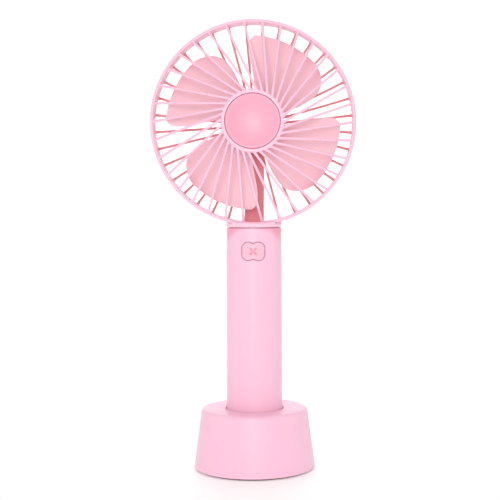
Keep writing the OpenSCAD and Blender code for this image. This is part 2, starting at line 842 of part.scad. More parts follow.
module motor_lead(side) {
    x = side * wire_x;
    bend = [for (r = [46, 42, 36, 30, 24, 18, 14.6]) [x, -duct_mid(r), head_z - r]];
    wire(concat(
        [[x, wire_y, board_top + 0.1], [x, wire_y, button_z + 2], [x, wire_y, head_z - rim_r + 0.5]],
        bend,
        [[side * 1.8, -(can_back - 0.9), head_z - 11.5], [side * 2.7, -(can_back - 0.72), head_z - 9],
         [side * 2.7, -(can_back - 0.72), head_z - 6]]), wire_r, 10);
}

module motor_lead_red() {
    color([0.8, 0.12, 0.1]) motor_lead(1);
}

module motor_lead_black() {
    color(dark) motor_lead(-1);
}

base_shell();
base_plate();
base_weight();
base_foot_pad();
base_screws();
handle_front_shell();
handle_rear_shell();
handle_screws();
battery_cap();
cap_contact();
cap_spring();
battery_cell();
battery_terminal();
positive_contact();
negative_strip();
main_board();
board_components();
usb_socket();
usb_tongue();
switch_board();
switch_body();
switch_dome();
switch_plunger();
status_leds();
power_button();
rear_housing();
rear_cap();
front_grille();
hub_cap();
impeller();
motor_can();
motor_magnets();
motor_end_cap();
motor_front_bushing();
motor_rear_bushing();
motor_brushes();
motor_terminals();
motor_shaft();
motor_armature();
motor_windings();
motor_commutator();
motor_screws();
motor_lead_red();
motor_lead_black();
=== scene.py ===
"""A rechargeable handheld fan standing in its desk base: the shown pieces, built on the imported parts."""

import json
import math

import bmesh
import bpy
from mathutils import Matrix, Vector


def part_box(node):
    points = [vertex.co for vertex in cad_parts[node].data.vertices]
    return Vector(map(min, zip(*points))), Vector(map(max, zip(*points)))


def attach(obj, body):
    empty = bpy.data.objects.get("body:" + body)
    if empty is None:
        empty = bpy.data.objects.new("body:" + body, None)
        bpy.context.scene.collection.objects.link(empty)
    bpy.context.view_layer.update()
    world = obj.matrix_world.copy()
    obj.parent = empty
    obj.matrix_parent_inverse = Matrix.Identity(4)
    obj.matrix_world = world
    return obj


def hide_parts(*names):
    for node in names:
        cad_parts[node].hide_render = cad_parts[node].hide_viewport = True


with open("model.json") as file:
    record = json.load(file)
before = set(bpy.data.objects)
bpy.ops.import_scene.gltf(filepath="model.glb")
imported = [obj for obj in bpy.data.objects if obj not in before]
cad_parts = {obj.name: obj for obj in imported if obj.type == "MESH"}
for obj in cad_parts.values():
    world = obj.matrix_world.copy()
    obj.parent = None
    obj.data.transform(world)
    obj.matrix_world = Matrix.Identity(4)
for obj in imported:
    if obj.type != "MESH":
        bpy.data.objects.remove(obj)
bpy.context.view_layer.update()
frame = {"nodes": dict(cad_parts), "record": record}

MM = 0.001
TAU = 2 * math.pi

# ---- Sizes, in millimetres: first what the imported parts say, then what they don't ----


def low_high(node):
    """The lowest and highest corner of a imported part, in millimetres."""
    low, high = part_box(node)
    return low / MM, high / MM


grille_low, grille_high = low_high("front_grille")
shell_low, shell_high = low_high("handle_front_shell")
rear_low, rear_high = low_high("handle_rear_shell")
base_low, base_high = low_high("base_shell")
pad_low, pad_high = low_high("base_foot_pad")
housing_low = low_high("rear_housing")[0]
button_low, button_high = low_high("power_button")
imp_low, imp_high = low_high("impeller")
disc_low, disc_high = low_high("hub_cap")
rear_cap_low, rear_cap_high = low_high("rear_cap")
cap_low, cap_high = low_high("battery_cap")
usb_low, usb_high = low_high("usb_socket")

rim_r = (grille_high.x - grille_low.x) / 2
axle_z = (grille_high.z + grille_low.z) / 2
handle_r = (shell_high.x - shell_low.x) / 2
button_z = (button_high.z + button_low.z) / 2

# Rim and barrel, and the joint between them. Heights in the head run forwards from the handle's axis.
rim_in = rim_r - 1.7
barrel_in = rim_r - 1.2
rim_front = 8.5
rim_back = -7.2
part_z = 0.6
part_gap = 0.1

# Ribs: both guards are domes. The front ribs pass the axle at an offset, the rear ones point at it.
dome_r = 112
rib_end_r = rim_r - 0.9
rib_w = 1.3
rib_depth = 2.0
front_ribs = 34
front_offset = 8.0
front_phase = 9.2
rear_ribs = 36
rear_phase = 4.7

# Hub ring, the dished disc in it, and the motor cup and duct behind.
hub_r = 15.1
hub_in = 13.35
hub_front = -grille_low.y
hub_plate = 14.4
plate_t = 1.1
cap_r = (disc_high.x - disc_low.x) / 2
cap_front = -disc_low.y
dish_depth = 1.5
rear_hub_r = (rear_cap_high.x - rear_cap_low.x) / 2
rear_hub_back = -17.5
cup_r = 13.45
cup_in = 12.35
cup_front = -2.4
duct_w = 9.4
duct_depth = 5.0

# Handle and neck.
wall = 1.6
collar_z = 117.9
handle_low = 19.2
arch_step = 0.2
arch_blend = 2.2
screw_hole_r = 1.76
screw_core_r = 1.15
SCREWS = [(6.5, 114.2), (-6.5, 114.2), (7.0, 91.0), (-7.0, 91.0)]
LAMPS = [(6.4, 96.5), (-6.4, 96.5)]

# Button: the size of its flange, and how deep the symbol in its face is.
flange_x = 6.5
flange_z = 5.3
flange_t = 0.8
symbol_depth = 0.22

# Impeller.
blade_count = 4
blade_root = 12.2
blade_t = 1.3
imp_hub_r = 13.0
imp_back = -imp_high.y
imp_front = -imp_low.y
tip_r = 42.4

# The head is drawn with its local z out of the front and its local y up.
HEAD = Matrix.Translation((0, 0, axle_z)) @ Matrix.Rotation(math.radians(90), 4, "X")

# ---- Mesh tools ----


class Shape:
    """Points and faces of one piece, gathered before it becomes an object. Sizes are in millimetres."""

    def __init__(self):
        self.points = []
        self.faces = []

    def grid(self, rows, wrap_rows=False, wrap_columns=False, keep=None):
        """Adds a sheet of quads over rows of points, closed on itself where asked. keep(i, j) picks."""
        first = len(self.points)
        width = len(rows[0])
        self.points.extend(p for row in rows for p in row)
        row_steps = len(rows) if wrap_rows else len(rows) - 1
        column_steps = width if wrap_columns else width - 1
        for i in range(row_steps):
            for j in range(column_steps):
                if keep and not keep(i, j):
                    continue
                a, b = i * width, ((i + 1) % len(rows)) * width
                k = (j + 1) % width
                self.faces.append([first + a + j, first + a + k, first + b + k, first + b + j])
        return first

    def fan(self, loop_start, count, reverse=False):
        """Adds one flat face over a loop of points already added."""
        loop = list(range(loop_start, loop_start + count))
        self.faces.append(loop[::-1] if reverse else loop)

    def tube(self, rings):
        """Adds a closed tube through rings of points, with flat ends."""
        first = self.grid(rings, wrap_columns=True)
        count = len(rings[0])
        self.fan(first, count, reverse=True)
        self.fan(first + (len(rings) - 1) * count, count)

    def lathe(self, outline, steps=192, closed=False, start=0.0, sweep=TAU):
        """Turns an (r, h) outline about the z axis."""
        whole = abs(sweep - TAU) < 1e-6
        angles = [start + sweep * i / steps for i in range(steps if whole else steps + 1)]
        rows = [[(r * math.cos(a), r * math.sin(a), h) for a in angles] for r, h in outline]
        self.grid(rows, wrap_rows=closed, wrap_columns=whole)


def make(name, shape, place=None, smooth=35.0, merge=0.0002):
    """The object of a shape: points merged, faces turned outwards, and only real edges left sharp."""
    mesh = bpy.data.meshes.new(name)
    mesh.from_pydata([Vector(p) * MM for p in shape.points], [], shape.faces)
    b = bmesh.new()
    b.from_mesh(mesh)
    bmesh.ops.remove_doubles(b, verts=b.verts, dist=merge * MM)
    bmesh.ops.dissolve_degenerate(b, edges=b.edges, dist=merge * MM)
    bmesh.ops.recalc_face_normals(b, faces=b.faces)
    if place is not None:
        scaled = place.copy()
        scaled.translation = place.translation * MM
        b.transform(scaled)
    b.to_mesh(mesh)
    b.free()
    soften(mesh, smooth)
    piece = bpy.data.objects.new(name, mesh)
    bpy.context.scene.collection.objects.link(piece)
    return piece


def soften(mesh, angle):
    """Smooth shading, broken only at edges sharper than the angle in degrees."""
    mesh.polygons.foreach_set("use_smooth", [True] * len(mesh.polygons))
    mesh.set_sharp_from_angle(angle=math.radians(angle))


def applied(piece):
    """Puts the piece's modifiers into its mesh."""
    graph = bpy.context.evaluated_depsgraph_get()
    done = bpy.data.meshes.new_from_object(piece.evaluated_get(graph))
    piece.modifiers.clear()
    piece.data = done
    return piece


def cut(piece, *tools):
    """Cuts the tools out of the piece, and removes them."""
    for tool in tools:
        step = piece.modifiers.new("cut", "BOOLEAN")
        step.object = tool
        step.operation = "DIFFERENCE"
        step.solver = "EXACT"
    applied(piece)
    for tool in tools:
        bpy.data.objects.remove(tool)
    soften(piece.data, 35)
    return piece


def bevel(piece, width, segments=2, angle=40):
    """Rounds the piece's sharp edges by a width in millimetres."""
    step = piece.modifiers.new("rounding", "BEVEL")
    step.width = width * MM
    step.segments = segments
    step.limit_method = "ANGLE"
    step.angle_limit = math.radians(angle)
    step.harden_normals = False
    applied(piece)
    soften(piece.data, 35)
    return piece


def rounded(corners, closed=False, steps=5):
    """The outline through (r, h, fillet) corners, with each corner turned into an arc of that radius."""
    count = len(corners)
    outline = []
    for i, (r, h, fillet) in enumerate(corners):
        corner = Vector((r, h))
        end = not closed and i in (0, count - 1)
        if fillet <= 0 or end:
            outline.append(tuple(corner))
            continue
        to_last = (Vector(corners[i - 1][:2]) - corner).normalized()
        to_next = (Vector(corners[(i + 1) % count][:2]) - corner).normalized()
        half = to_last.angle(to_next) / 2
        centre = corner + (to_last + to_next).normalized() * (fillet / math.sin(half))
        a = (corner + to_last * (fillet / math.tan(half)) - centre).normalized()
        b = (corner + to_next * (fillet / math.tan(half)) - centre).normalized()
        for k in range(steps + 1):
            outline.append(tuple(centre + a.slerp(b, k / steps) * fillet))
    return outline


def cylinder(name, radius, low, high, steps=96, place=None):
    """A plain cylinder along z, used to cut with."""
    shape = Shape()
    shape.lathe([(0, low), (radius, low), (radius, high), (0, high)], steps)
    return make(name, shape, place)


def finish_piece(piece, body, node, slot, *materials):
    """Gives a piece its materials and its CAD body, and hides the CAD node that it stands for."""
    for material in materials:
        piece.data.materials.append(material)
    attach(piece, body)
    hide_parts(*([node] if isinstance(node, str) else node))
    return piece


# ---- Materials ----


class Nodes:
    """A short way to write a material's nodes."""

    def __init__(self, name):
        self.material = bpy.data.materials.new(name)
        self.material.use_nodes = True
        self.tree = self.material.node_tree
        self.shader = self.tree.nodes["Principled BSDF"]
        self.place = self.node("ShaderNodeTexCoord").outputs["Object"]

    def node(self, kind, inputs=None, **settings):
        made = self.tree.nodes.new(kind)
        for key, value in settings.items():
            setattr(made, key, value)
        for key, value in (inputs or {}).items():
            self.put(made.inputs[key], value)
        return made

    def put(self, socket, value):
        if isinstance(value, bpy.types.NodeSocket):
            self.tree.links.new(value, socket)
        else:
            socket.default_value = value

    def noise(self, size, detail=3.0, roughness=0.55, stretch=(1, 1, 1)):
        """Noise whose features are about that many millimetres across."""
        place = self.node("ShaderNodeMapping", {"Vector": self.place, "Scale": stretch}).outputs[0]
        inputs = {"Vector": place, "Scale": 1 / (size * MM), "Detail": detail, "Roughness": roughness}
        return self.node("ShaderNodeTexNoise", inputs).outputs["Fac"]

    def ramp(self, value, low, high, out_low=0.0, out_high=1.0):
        inputs = {"Value": value, "From Min": low, "From Max": high, "To Min": out_low, "To Max": out_high}
        return self.node("ShaderNodeMapRange", inputs).outputs["Result"]

    def math(self, operation, a, b):
        return self.node("ShaderNodeMath", {0: a, 1: b}, operation=operation).outputs[0]

    def mix(self, factor, a, b, blend="MIX"):
        made = self.node("ShaderNodeMix", data_type="RGBA", blend_type=blend)
        self.put(made.inputs["Factor"], factor)
        self.put(made.inputs["A"], a)
        self.put(made.inputs["B"], b)
        return made.outputs["Result"]

    def worn_edge(self, low=0.53, high=0.62):
        """One along convex edges that hands and tables rub."""
        point = self.node("ShaderNodeNewGeometry").outputs["Pointiness"]
        return self.math("MULTIPLY", self.ramp(point, low, high), self.ramp(self.noise(2.2, 5), 0.42, 0.62))

    def bump(self, height, distance, strength=1.0, normal=None):
        inputs = {"Height": height, "Distance": distance * MM, "Strength": strength}
        if normal is not None:
            inputs["Normal"] = normal
        return self.node("ShaderNodeBump", inputs).outputs["Normal"]

    def set(self, **inputs):
        for key, value in inputs.items():
            self.put(self.shader.inputs[key.replace("_", " ")], value)
        return self.material


def rgba(r, g, b):
    """An opaque colour."""
    return (r, g, b, 1.0)


def moulded(name, colour, deep, grain=0.35, relief=0.012, rough=(0.34, 0.46), glow=0.12):
    """Moulded plastic: spark-eroded grain, faint flow marks, mottled gloss, and paler rubbed edges."""
    n = Nodes(name)
    flow = n.noise(14, 4, 0.6, (1, 1, 0.35))
    base = n.mix(n.ramp(flow, 0.3, 0.7), rgba(*deep), rgba(*colour))
    pale = rgba(*[1 - (1 - c) * 0.72 for c in colour])
    base = n.mix(n.math("MULTIPLY", n.worn_edge(), 0.45), base, pale)
    speck = n.ramp(n.noise(0.9, 2), 0.66, 0.78)
    base = n.mix(n.math("MULTIPLY", speck, 0.06), base, rgba(*[c * 0.8 for c in deep]))
    gloss = n.ramp(n.noise(5, 5, 0.65), 0.3, 0.7, rough[0], rough[1])
    fine = n.bump(n.noise(grain, 2, 0.5), relief)
    wavy = n.bump(n.noise(9, 2, 0.4), relief * 2.5, 0.6, fine)
    n.set(Subsurface_Weight=glow, Subsurface_Scale=0.002, Subsurface_Radius=(1.0, 0.45, 0.5))
    return n.set(Base_Color=base, Roughness=gloss, Normal=wavy, Specular_IOR_Level=0.45, IOR=1.49)


def metal(name, colour, rough=0.28, brush=(1, 1, 1), tarnish=0.5):
    """Plated or drawn metal with fine lines, stains and duller patches."""
    n = Nodes(name)
    stain = n.ramp(n.noise(3, 5, 0.6), 0.4, 0.7)
    base = n.mix(n.math("MULTIPLY", stain, tarnish), rgba(*colour), rgba(*[c * 0.55 for c in colour]))
    lines = n.noise(0.25, 3, 0.6, brush)
    drawn = n.ramp(lines, 0.3, 0.7, rough * 0.75, rough * 1.25)
    gloss = n.math("ADD", drawn, n.math("MULTIPLY", stain, 0.12))
    return n.set(Base_Color=base, Roughness=gloss, Metallic=1.0, Normal=n.bump(lines, 0.006))


def rubber(name):
    """Foot rubber: dull, slightly grained, greyed with dust."""
    n = Nodes(name)
    dust = n.ramp(n.noise(4, 6, 0.65), 0.45, 0.75)
    base = n.mix(n.math("MULTIPLY", dust, 0.5), rgba(0.018, 0.018, 0.02), rgba(0.09, 0.085, 0.085))
    grain = n.bump(n.noise(0.3, 3), 0.03)
    return n.set(Base_Color=base, Roughness=n.ramp(dust, 0, 1, 0.62, 0.85), Normal=grain)


def circuit(name):
    """Solder mask over fibreglass, with the pale line of tracks under it."""
    n = Nodes(name)
    tracks = n.node("ShaderNodeTexVoronoi", {"Vector": n.place, "Scale": 900.0}, feature="DISTANCE_TO_EDGE")
    edge = n.ramp(tracks.outputs["Distance"], 0.03, 0.06, 1, 0)
    base = n.mix(n.math("MULTIPLY", edge, 0.5), rgba(0.012, 0.11, 0.04), rgba(0.05, 0.24, 0.1))
    gloss = n.ramp(n.noise(1, 3), 0.3, 0.7, 0.22, 0.36)
    return n.set(Base_Color=base, Roughness=gloss, Normal=n.bump(edge, 0.02))


def wrapped(name, colour):
    """Shrink film round a cell, with soft creases."""
    n = Nodes(name)
    crease = n.noise(2.5, 4, 0.5, (1, 1, 0.15))
    base = n.mix(n.ramp(n.noise(8, 3), 0.3, 0.7), rgba(*colour), rgba(*[c * 0.8 for c in colour]))
    gloss = n.ramp(crease, 0.3, 0.7, 0.2, 0.34)
    return n.set(Base_Color=base, Roughness=gloss, Normal=n.bump(crease, 0.05))


def with_mark(look, attribute, colour):
    """Turns a plastic towards another colour where the mesh carries a mark."""
    tree = look.node_tree
    base = tree.nodes["Principled BSDF"].inputs["Base Color"]
    mark = tree.nodes.new("ShaderNodeAttribute")
    mark.attribute_name = attribute
    mix = tree.nodes.new("ShaderNodeMix")
    mix.data_type = "RGBA"
    tree.links.new(mark.outputs["Fac"], mix.inputs["Factor"])
    tree.links.new(base.links[0].from_socket, mix.inputs["A"])
    mix.inputs["B"].default_value = rgba(*colour)
    tree.links.new(mix.outputs["Result"], base)
    return look


PINK = (0.955, 0.565, 0.72)
PINK_DEEP = (0.945, 0.545, 0.705)
# Painted shade: the head's shadow on the handle's top corners, outside the arch, put into the plastic's
# colour.
ARCH_SHADE = (0.93, 0.36, 0.52)
BUTTON = (0.93, 0.52, 0.65)
BUTTON_DEEP = (0.92, 0.5, 0.63)
SYMBOL = (0.85, 0.3, 0.42)
ROSE = (0.94, 0.39, 0.53)
ROSE_DEEP = (0.93, 0.37, 0.51)
# Rear guard colour: the body's pink darkened and reddened as painted shade, for the shadow that falls
# behind the blades.
SHADED_GUARD = (0.82, 0.34, 0.37)
SHADED_GUARD_DEEP = (0.8, 0.31, 0.34)
BLADE = (0.96, 0.66, 0.73)
BLADE_DEEP = (0.95, 0.64, 0.71)

pink = moulded("pink_plastic", PINK, PINK_DEEP)
rose = moulded("rose_plastic", ROSE, ROSE_DEEP, rough=(0.3, 0.42))
shaded_guard_pink = moulded("guard_plastic_painted_shade", SHADED_GUARD, SHADED_GUARD_DEEP, rough=(0.36, 0.5))
blade_pink = moulded("blade_plastic", BLADE, BLADE_DEEP, grain=0.5, rough=(0.28, 0.4), glow=0.25)
# The handle's plastic turns towards the painted shade outside the arch; the arch also has a real 0.2 mm
# step in the shell.
handle_pink = with_mark(moulded("handle_plastic", PINK, PINK_DEEP, rough=(0.31, 0.41)), "arch", ARCH_SHADE)
button_pink = with_mark(moulded("button_plastic", BUTTON, BUTTON_DEEP, rough=(0.3, 0.42)), "pressed",
                        SYMBOL)
steel = metal("plated_steel", (0.62, 0.62, 0.63), brush=(1, 1, 0.1))
copper = metal("copper_alloy", (0.78, 0.42, 0.25), rough=0.22)
black = moulded("black_plastic", (0.03, 0.03, 0.033), (0.022, 0.022, 0.024), glow=0.0)
ivory = moulded("ivory_plastic", (0.78, 0.75, 0.66), (0.74, 0.7, 0.6), glow=0.1)
red_sleeve = moulded("red_sleeve", (0.55, 0.03, 0.025), (0.48, 0.025, 0.02), grain=0.2, glow=0.05)
ferrite = moulded("ferrite", (0.06, 0.06, 0.065), (0.04, 0.04, 0.045), grain=0.15, rough=(0.5, 0.7),
                  glow=0.0)
foot_rubber = rubber("foot_rubber")
board_green = circuit("circuit_board")
cell_blue = wrapped("cell_wrap", (0.02, 0.11, 0.32))

SLOT_LOOKS = {
    "pink_plastic": pink, "deep_pink_plastic": rose, "foot_rubber": foot_rubber, "steel": steel,
    "copper_alloy": copper, "cell_can": cell_blue, "board": board_green, "black_plastic": black,
    "ferrite": ferrite, "led_resin": ivory, "red_insulation": red_sleeve,
}

# ---- Base ----


def base_shell():
    """The tapered stand: rounded shoulder, softened well mouth, hollow underneath."""
    r, top_r, low, high = base_high.x, 25.8, base_low.z, base_high.z
    well, floor, skin = handle_r + 0.3, high - 16, 1.8
    shape = Shape()
    shape.lathe(rounded([
        (0, floor, 0), (well, floor, 0.4), (well, high, 0.8), (top_r, high, 1.9), (r, low, 0.35),
        (r - skin, low, 0.2), (top_r - skin, high - skin, 0.8), (well + 1.6, high - skin, 0.5),
        (well + 1.6, floor - 1.6, 0.3), (0, floor - 1.6, 0)], steps=7), 224)
    return finish_piece(make("desk_base", shape), "base", "base_shell", "pink_plastic", pink)


def foot_pad():
    """A rubber disc with concentric grip grooves underneath."""
    r, low, high = pad_high.x, pad_low.z, pad_high.z
    corners = [(0, high, 0), (r, high, 0.15), (r, low, 0.25)]
    for k in range(6):
        inner = r - 3 - 3.4 * k
        corners += [(inner + 0.5, low, 0.08), (inner + 0.3, low + 0.3, 0.08),
                    (inner - 0.3, low + 0.3, 0.08), (inner - 0.5, low, 0.08)]
    shape = Shape()
    shape.lathe(rounded(corners + [(0, low, 0)], steps=3), 160)
    return finish_piece(make("foot_pad", shape), "base", "base_foot_pad", "foot_rubber", foot_rubber)


# ---- Handle ----


def circle_reach(r):
    """A round hole's edge is at the same distance at each angle."""
    return lambda a: r


def slot_reach(half_x, half_z, power=6):
    """How far a round-cornered slot's edge is from its middle, at each angle."""
    def reach(a):
        return (abs(math.cos(a) / half_x) ** power + abs(math.sin(a) / half_z) ** power) ** (-1 / power)
    return reach


def button_reach(grow=0.0):
    """The four-lobed outline: four overlapping discs with the waists between them part filled."""
    lobe_r, lobe_x, lobe_z = 3.1 + grow, 2.45, 1.3
    half_x, half_z = lobe_x + lobe_r - 0.15, lobe_z + lobe_r - 0.55

    def box_reach(c, s, x, z):
        return min(x / max(abs(c), 1e-9), z / max(abs(s), 1e-9))

    def reach(a):
        c, s = abs(math.cos(a)), abs(math.sin(a))
        along = c * lobe_x + s * lobe_z
        across = lobe_x ** 2 + lobe_z ** 2 - along ** 2
        discs = along + math.sqrt(max(lobe_r ** 2 - across, 0))
        bars = max(box_reach(c, s, half_x, lobe_z), box_reach(c, s, lobe_x, half_z))
        return max(discs, bars)
    return reach


def beyond_arch(x, z):
    """How far outside the arch at the handle's top a place is, from 0 to 1."""
    spring_z = shell_high.z - handle_r
    out = math.hypot(x, z - spring_z) - handle_r
    return min(1.0, max(0.0, out / arch_blend)) if z > spring_z else 0.0


def marked(piece, name, depth):
    """Stores depth(point) at each of the piece's points, for its colour."""
    marks = piece.data.attributes.new(name, "FLOAT", "POINT")
    marks.data.foreach_set("value", [depth(v.co / MM) for v in piece.data.vertices])
    return piece


def mark_arch_shade(piece):
    """Marks how far outside the arch each point of the handle is: the mask of the painted shade that the
    head casts on the handle's top corners.
    """
    return marked(piece, "arch", lambda p: beyond_arch(p.x, p.z))


def half_tube(low, high, side, holes, seam=0.05):
    """Half of the handle's tube, with a wall and with holes through it. A hole is (x, z, reach, margin)."""
    columns, rows = 120, round((high - low) / 0.62)
    edge = math.asin(seam / handle_r)
    angles = [-math.pi / 2 + edge + (math.pi - 2 * edge) * j / columns for j in range(columns + 1)]
    heights = [low + (high - low) * i / rows for i in range(rows + 1)]
    inner_r = handle_r - wall
    outer, inner, taken = Shape(), [], set()

    def at(a, z, straight=0.0):
        """Adds a point on the outside at that angle, and its partner on the inside."""
        r = handle_r - arch_step * min(1.0, 3 * beyond_arch(handle_r * math.sin(a), z))
        x = handle_r * math.sin(a)
        radial = Vector((inner_r * math.sin(a), side * inner_r * math.cos(a), z))
        level = Vector((x, side * math.sqrt(max(inner_r ** 2 - x * x, 0)), z))
        inner.append(radial.lerp(level, straight))
        return (r * math.sin(a), side * r * math.cos(a), z)

    patches = []
    for x, z, reach, margin in holes:
        centre = math.asin(x / handle_r)
        wide = max(reach(t * TAU / 48) * abs(math.cos(t * TAU / 48)) for t in range(48)) + margin
        tall = max(reach(t * TAU / 48) * abs(math.sin(t * TAU / 48)) for t in range(48)) + margin
        reach_angle = wide / (handle_r * math.cos(centre))
        j0 = max(j for j in range(columns) if angles[j] <= centre - reach_angle)
        j1 = min(j for j in range(columns + 1) if angles[j] >= centre + reach_angle)
        i0 = max(i for i in range(rows) if heights[i] <= z - tall)
        i1 = min(i for i in range(rows + 1) if heights[i] >= z + tall)
        taken |= {(i, j) for i in range(i0, i1) for j in range(j0, j1)}
        loop = ([(i0, j) for j in range(j0, j1)] + [(i, j1) for i in range(i0, i1)]
                + [(i1, j) for j in range(j1, j0, -1)] + [(i, j0) for i in range(i1, i0, -1)])
        patches.append((x, z, reach, loop))
    outer.grid([[at(a, z) for a in angles] for z in heights], keep=lambda i, j: (i, j) not in taken)
    for x, z, reach, loop in patches:
        rings = []
        for share in (0, 0.22, 0.5, 0.75, 1):
            ring = []
            for i, j in loop:
                across, up = handle_r * math.sin(angles[j]) - x, heights[i] - z
                turn = math.atan2(up, across)
                far = math.hypot(across, up)
                r = reach(turn) + (far - reach(turn)) * share
                a = math.asin(max(-1, min(1, (x + r * math.cos(turn)) / handle_r)))
                ring.append(at(a, z + r * math.sin(turn), 1 - share))
            rings.append(ring)
        outer.grid(rings, wrap_columns=True)
    return with_wall(outer, inner)


def with_wall(outer, inner):
    """Closes a sheet into a wall, given the point on its inside for each point on its outside."""
    keys = [tuple(round(c, 4) for c in p) for p in outer.points]
    one = {}
    for index, key in enumerate(keys):
        one.setdefault(key, index)
    count = len(outer.points)
    faces = [[one[keys[k]] for k in face] for face in outer.faces]
    used = {}
    for face in faces:
        for a, b in zip(face, face[1:] + face[:1]):
            used.setdefault(frozenset((a, b)), []).append((a, b))
    shape = Shape()
    shape.points = list(outer.points) + list(inner)
    shape.faces = faces + [[k + count for k in reversed(face)] for face in faces]
    for uses in used.values():
        if len(uses) == 1:
            a, b = uses[0]
            shape.faces.append([b, a, a + count, b + count])
    return shape


def screw_seat(x, z, seat_y=9.2):
    """The sunk tube that a handle screw's head sits in."""
    shape = Shape()
    shape.lathe(rounded([
        (screw_core_r, 7.4, 0), (2.6, 7.4, 0.2), (2.6, 9.95, 0), (screw_hole_r, 9.95, 0),
        (screw_hole_r, seat_y, 0), (screw_core_r, seat_y, 0)], closed=True), 40, closed=True)
    turn = Matrix.Translation((x, 0, z)) @ Matrix.Rotation(math.radians(-90), 4, "X")
    return make("seat", shape, turn)


def join(name, pieces):
    """One object out of several closed ones."""
    with bpy.context.temp_override(active_object=pieces[0], selected_editable_objects=pieces):
        bpy.ops.object.join()
    pieces[0].name = name
    pieces[0].data.name = name
    return pieces[0]


def handle_front():
    """The front half, with the button's hole."""
    shape = half_tube(shell_low.z, shell_high.z, -1, [(0, button_z, button_reach(0.18), 1.6)])
    piece = mark_arch_shade(bevel(make("handle_front", shape), 0.2))
    return finish_piece(piece, "handset", "handle_front_shell", "pink_plastic", handle_pink)


def handle_back():
    """The rear half, with its screw seats, lamp holes and charging inlet."""
    holes = [(x, z, circle_reach(screw_hole_r), 0.7) for x, z in SCREWS]
    holes += [(x, z, circle_reach(0.86), 0.5) for x, z in LAMPS]
    holes.append((0, (usb_low.z + usb_high.z) / 2, slot_reach(4.1, 1.6), 0.8))
    shell = bevel(make("handle_back", half_tube(rear_low.z, rear_high.z, 1, holes)), 0.2)
    piece = mark_arch_shade(join("handle_back", [shell] + [screw_seat(x, z) for x, z in SCREWS]))
    return finish_piece(piece, "handset", "handle_rear_shell", "pink_plastic", handle_pink)


def bottom_cap():
    """The quarter-turn battery cap: knurled skirt, bayonet lugs, and a coin slot in its underside."""
    low, skirt = cap_low.z, handle_low - 0.15
    r, plug_r, plug_in = cap_high.x, 11.8, 10.4
    shape = Shape()
    shape.lathe(rounded([
        (0, low, 0), (r, low, 1.0), (r, skirt, 0.3), (plug_r, skirt, 0.15), (plug_r, cap_high.z, 0.3),
        (plug_in, cap_high.z, 0.3), (plug_in, low + 1.8, 0.3), (0, low + 1.8, 0)]), 144)
    piece = make("bottom_cap", shape)
    across = Matrix.Translation((0, 0, low - 7.3)) @ Matrix.Rotation(math.radians(90), 4, "X")
    slot = cylinder("slot", 8.5, -0.9, 0.9, 64, across)
    grips, grip_count = [], 24
    for k in range(grip_count):
        turn = Matrix.Rotation(TAU * k / grip_count, 4, "Z") @ Matrix.Translation((r + 0.35, 0, 0))
        grips.append(cylinder("grip", 0.6, low + 1.6, skirt - 0.9, 16, turn))
    piece = bevel(cut(piece, slot, join("grips", grips)), 0.12)
    lugs = []
    inner = plug_r - 0.3
    lug_r, lug_low, lug_high, steps = 12.5, 21.4, 22.8, 12
    outline = rounded([(inner, lug_low, 0), (lug_r, lug_low, 0.2), (lug_r, lug_high, 0.2),
                       (inner, lug_high, 0)], closed=True)
    for turn in (0, math.pi):
        lug = Shape()
        lug.lathe(outline, steps, closed=True, start=turn - math.radians(10), sweep=math.radians(20))
        for end in (0, steps):
            lug.faces.append([i * (steps + 1) + end for i in range(len(outline))])
        lugs.append(make("lug", lug))
    piece = join("bottom_cap", [piece] + lugs)
    return finish_piece(piece, "bottom_cap", "battery_cap", "pink_plastic", pink)


def blade_symbol_depth(x, z):
    """How deep the pressed fan symbol is at a place on the button, from 0 to 1: four lens-shaped blades."""
    best = 0.0
    for k in range(4):
        t = math.radians(45 + 90 * k)
        along, across = x * math.cos(t) + z * math.sin(t), -x * math.sin(t) + z * math.cos(t)
        reach = 1.5 - math.hypot(along - 1.3, abs(across) + 0.9)
        best = max(best, min(1, max(0, reach / 0.16)))
    return best


def button_rings(flange):
    """Rings of points from the middle of the button's face, over its soft edge, back to the flange."""
    face_r, edge = -button_low.y, 0.4
    reach = button_reach()
    steps, face_rings, edge_steps = 240, 46, 6
    turns = [TAU * k / steps for k in range(steps)]

    def ring(share, inset, drop):
        row = []
        for t in turns:
            r = reach(t) * share - inset
            x, z = r * math.cos(t), r * math.sin(t)
            symbol = blade_symbol_depth(x, z) if share < 0.9 else 0.0
            row.append((x, -math.sqrt(face_r ** 2 - x * x) + drop + symbol_depth * symbol, button_z + z))
        return row

    rings = [ring(k / face_rings * 0.97, 0, 0) for k in range(face_rings)]
    for k in range(edge_steps + 1):
        t = math.pi / 2 * k / edge_steps
        rings.append(ring(1, edge * (1 - math.sin(t)), edge * (1 - math.cos(t))))
    rings.append([(x, min(y + 1.2, flange), z) for x, y, z in rings[-1]])
    rings.append([(x, flange, z) for x, y, z in rings[-1]])
    return rings


def power_button():
    """The four-lobed push button: crowned like the handle, soft edge, pressed symbol, and its flange."""
    flange = button_high.y - flange_t
    rings = button_rings(flange)
    shape = Shape()
    shape.grid(rings, wrap_columns=True)
    shape.fan((len(rings) - 1) * len(rings[0]), len(rings[0]))
    face = marked(make("power_button", shape, merge=0.00001), "pressed", lambda p: (
        blade_symbol_depth(p.x, p.z - button_z) if p.y < flange - 1 else 0.0))
    corners = [(-flange_x, -flange_z), (flange_x, -flange_z), (flange_x, flange_z), (-flange_x, flange_z)]
    outline = rounded([(*corner, 0.8) for corner in corners], closed=True)
    plate = Shape()
    plate.tube([[(x, y, button_z + z) for x, z in outline] for y in (flange, button_high.y)])
    piece = join("power_button", [face, bevel(make("button_flange", plate), 0.12)])
    return finish_piece(piece, "button", "power_button", "deep_pink_plastic", button_pink)


# ---- Head ----


def dome_height(r, top):
    """Height of a guard's dome at a radius, where top is the height of its outer face at the ribs' ends."""
    return top - math.sqrt(dome_r ** 2 - rib_end_r ** 2) + math.sqrt(dome_r ** 2 - r * r)


